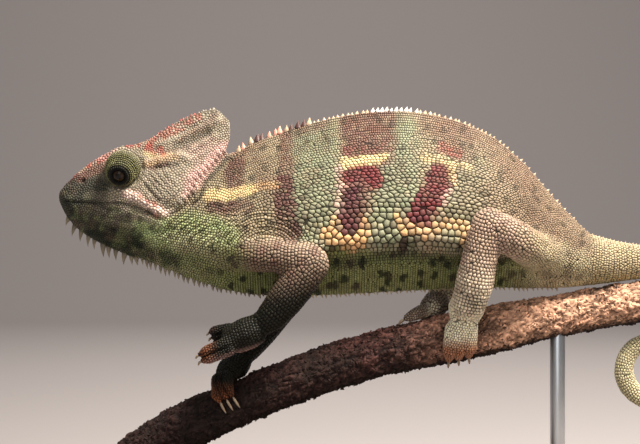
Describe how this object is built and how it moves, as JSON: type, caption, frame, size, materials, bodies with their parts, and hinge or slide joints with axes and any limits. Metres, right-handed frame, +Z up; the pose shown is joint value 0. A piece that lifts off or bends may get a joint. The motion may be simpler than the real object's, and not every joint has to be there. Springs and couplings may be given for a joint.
{
  "type": "chameleon model",
  "caption": "Life-size still model of a casqued chameleon gripping a slanting branch with one forefoot lifted and its tail coiled, on a flat display base.",
  "frame": {"origin": "centre of the stand's flat underside", "axes": "+Z up, +X from the snout towards the tail, +Y to the animal's right side"},
  "size_m": [0.2101, 0.092, 0.135],
  "materials": {
    "head_skin": "scaly skin, small raised plates, satin",
    "body_skin": "granular scales in green, tan, maroon and cream, satin",
    "limb_skin": "fine granular scales in rows, satin",
    "tail_skin": "fine scales in rings, satin",
    "claw": "pale translucent horn, half gloss",
    "eye": "dark, wet and glossy",
    "bark": "rough fibrous red-brown bark, matt",
    "steel_rod": "brushed",
    "stained_wood": "dark stained, satin lacquer"
  },
  "bodies": {
    "root": {"stand_rod_front": "steel_rod", "stand_rod_back": "steel_rod", "stand_base": "stained_wood", "perch": "bark", "casque": "head_skin", "head": "head_skin", "lower_jaw": "head_skin", "neck": "body_skin", "trunk": "body_skin", "eye_turret_left": "head_skin", "eye_left": "eye", "eye_turret_right": "head_skin", "eye_right": "eye", "tail_root": "tail_skin", "tail_bend": "tail_skin", "tail_drop": "tail_skin", "tail_coil": "tail_skin", "tail_tip": "tail_skin", "upper_arm_left": "limb_skin", "forearm_left": "limb_skin", "hand_left": "limb_skin", "outer_toes_front_left": "limb_skin", "claw_front_left_outer_1": "claw", "claw_front_left_outer_2": "claw", "inner_toes_front_left": "limb_skin", "claw_front_left_inner_1": "claw", "claw_front_left_inner_2": "claw", "claw_front_left_inner_3": "claw", "upper_arm_right": "limb_skin", "forearm_right": "limb_skin", "hand_right": "limb_skin", "outer_toes_front_right": "limb_skin", "claw_front_right_outer_1": "claw", "claw_front_right_outer_2": "claw", "inner_toes_front_right": "limb_skin", "claw_front_right_inner_1": "claw", "claw_front_right_inner_2": "claw", "claw_front_right_inner_3": "claw", "thigh_left": "limb_skin", "shank_left": "limb_skin", "foot_left": "limb_skin", "outer_toes_hind_left": "limb_skin", "claw_hind_left_outer_1": "claw", "claw_hind_left_outer_2": "claw", "claw_hind_left_outer_3": "claw", "inner_toes_hind_left": "limb_skin", "claw_hind_left_inner_1": "claw", "claw_hind_left_inner_2": "claw", "thigh_right": "limb_skin", "shank_right": "limb_skin", "foot_right": "limb_skin", "outer_toes_hind_right": "limb_skin", "claw_hind_right_outer_1": "claw", "claw_hind_right_outer_2": "claw", "claw_hind_right_outer_3": "claw", "inner_toes_hind_right": "limb_skin", "claw_hind_right_inner_1": "claw", "claw_hind_right_inner_2": "claw"}
  },
  "joints": []
}
